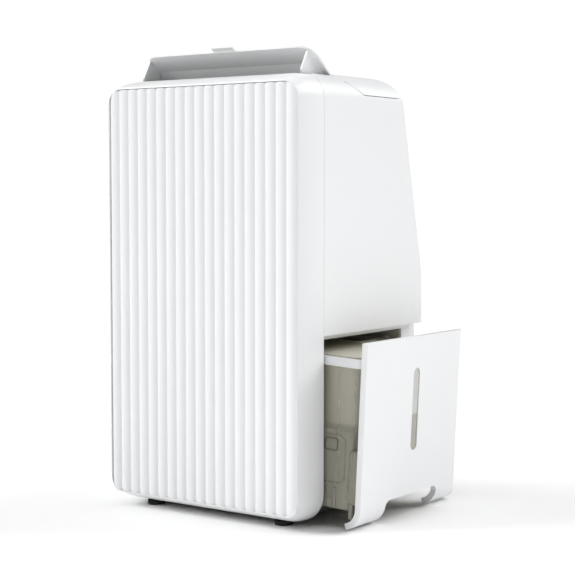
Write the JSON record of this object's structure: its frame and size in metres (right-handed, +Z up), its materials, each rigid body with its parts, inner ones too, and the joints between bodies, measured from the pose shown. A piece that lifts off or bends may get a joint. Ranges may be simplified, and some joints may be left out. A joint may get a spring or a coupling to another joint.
{
  "type": "dehumidifier",
  "caption": "Free-standing compressor dehumidifier: fluted front, tilting top outlet flap, flush flip-up handle, side water tank drawn out.",
  "frame": {"origin": "on the floor under the middle of the whole object, with its tank drawn out as it is at rest", "axes": "+Z up, +X towards the side that the tank is drawn from, +Y towards the back; the fluted front faces -Y"},
  "size_m": [0.336, 0.2656, 0.532],
  "materials": {
    "shell_white": "satin moulded, fine texture",
    "panel_white": "satin moulded, ribbed",
    "inner_grey": "matt moulded",
    "pan_grey": "matt moulded",
    "foot_rubber": "matt",
    "filter_net": "fine woven net",
    "control_face": "satin moulded",
    "display_black": "gloss",
    "key_grey": "satin",
    "board_green": "solder mask",
    "steel": "bright zinc",
    "black_paint": "satin black enamel",
    "copper": "drawn copper tube",
    "fin_aluminium": "mill finish",
    "duct_white": "matt moulded",
    "wheel_black": "matt moulded",
    "tank_clear": "translucent smoke-beige, smooth",
    "window_clear": "clear, polished",
    "foam_white": "closed-cell foam",
    "magnet_dark": "sintered ferrite"
  },
  "bodies": {
    "root": {"front_panel": "panel_white", "front_bezel": "shell_white", "body_shell": "shell_white", "base_pan": "pan_grey", "feet": "foot_rubber", "tank_bay": "inner_grey", "outlet_frame": "duct_white", "control_panel": "control_face", "display_window": "display_black", "control_board": "board_green", "handle_pins": "steel", "compressor": "black_paint", "accumulator": "black_paint", "compressor_grommets": "foot_rubber", "compressor_studs": "steel", "suction_pipe": "copper", "discharge_pipe": "copper", "capillary_pipe": "copper", "evaporator_fins": "fin_aluminium", "evaporator_tubes": "copper", "condenser_fins": "fin_aluminium", "condenser_tubes": "copper", "drip_tray": "duct_white", "air_guide": "duct_white", "scroll_front": "duct_white", "scroll_rear": "duct_white", "fan_motor": "steel", "capacitor": "fin_aluminium", "power_box": "inner_grey", "power_box_lid": "steel", "humidity_sensor": "board_green", "float_switch": "wheel_black", "drain_spigot": "duct_white", "cord_gland": "foot_rubber", "housing_screws": "steel"},
    "outlet_flap": {"flap": "shell_white"},
    "handle": {"carry_handle": "shell_white"},
    "air_filter": {"rear_grille": "shell_white", "filter_frame": "duct_white", "filter_mesh": "filter_net"},
    "fan_wheel": {"impeller": "wheel_black"},
    "tank_bail": {"tank_handle": "shell_white"},
    "tank": {"tank_body": "tank_clear", "tank_lid": "tank_clear", "tank_cover": "shell_white", "tank_window": "window_clear"},
    "float_arm": {"float": "foam_white", "float_magnet": "magnet_dark"},
    "drain_plug": {"drain_plug": "foot_rubber"},
    "key_power": {"button_power": "key_grey"},
    "key_mode": {"button_mode": "key_grey"},
    "key_fan": {"button_fan": "key_grey"},
    "key_humidity": {"button_humidity": "key_grey"},
    "key_timer": {"button_timer": "key_grey"}
  },
  "joints": [
    {"name": "flap_hinge", "type": "hinge", "parent": "root", "child": "outlet_flap", "pos_m": [-0.02803, -0.05175, 0.492], "axis": [-1, 0, 0], "range_deg": [-38, 37]},
    {"name": "handle_hinge", "type": "hinge", "parent": "root", "child": "handle", "pos_m": [-0.02803, -0.03475, 0.4948], "axis": [1, 0, 0], "range_deg": [0, 88]},
    {"name": "filter_pull", "type": "slide", "parent": "root", "child": "air_filter", "axis": [0, 0.9763, 0.2164], "range_m": [0, 0.12]},
    {"name": "fan_spin", "type": "hinge", "parent": "root", "child": "fan_wheel", "pos_m": [-0.03803, -0.06075, 0.33], "axis": [0, 1, 0], "continuous": true},
    {"name": "tank_slide", "type": "slide", "parent": "root", "child": "tank_bail", "axis": [1, 0, 0], "range_m": [-0.055, 0.15]},
    {"name": "tank_tip", "type": "hinge", "parent": "tank_bail", "child": "tank", "pos_m": [0.07597, -0.00075, 0.187], "axis": [0, 1, 0], "range_deg": [-2.83, 0]},
    {"name": "float_hinge", "type": "hinge", "parent": "tank", "child": "float_arm", "pos_m": [0.13007, -0.00075, 0.14728], "axis": [0, 1, 0], "range_deg": [0, 32]},
    {"name": "drain_plug_pull", "type": "slide", "parent": "root", "child": "drain_plug", "axis": [0, 1, 0], "range_m": [0, 0.06]},
    {"name": "press_power", "type": "slide", "parent": "root", "child": "key_power", "axis": [0, 0, -1], "range_m": [0, 0.001], "stiffness_N_per_m": 400, "springref_m": -0.0006},
    {"name": "press_mode", "type": "slide", "parent": "root", "child": "key_mode", "axis": [0, 0, -1], "range_m": [0, 0.001], "stiffness_N_per_m": 400, "springref_m": -0.0006},
    {"name": "press_fan", "type": "slide", "parent": "root", "child": "key_fan", "axis": [0, 0, -1], "range_m": [0, 0.001], "stiffness_N_per_m": 400, "springref_m": -0.0006},
    {"name": "press_humidity", "type": "slide", "parent": "root", "child": "key_humidity", "axis": [0, 0, -1], "range_m": [0, 0.001], "stiffness_N_per_m": 400, "springref_m": -0.0006},
    {"name": "press_timer", "type": "slide", "parent": "root", "child": "key_timer", "axis": [0, 0, -1], "range_m": [0, 0.001], "stiffness_N_per_m": 400, "springref_m": -0.0006}
  ]
}
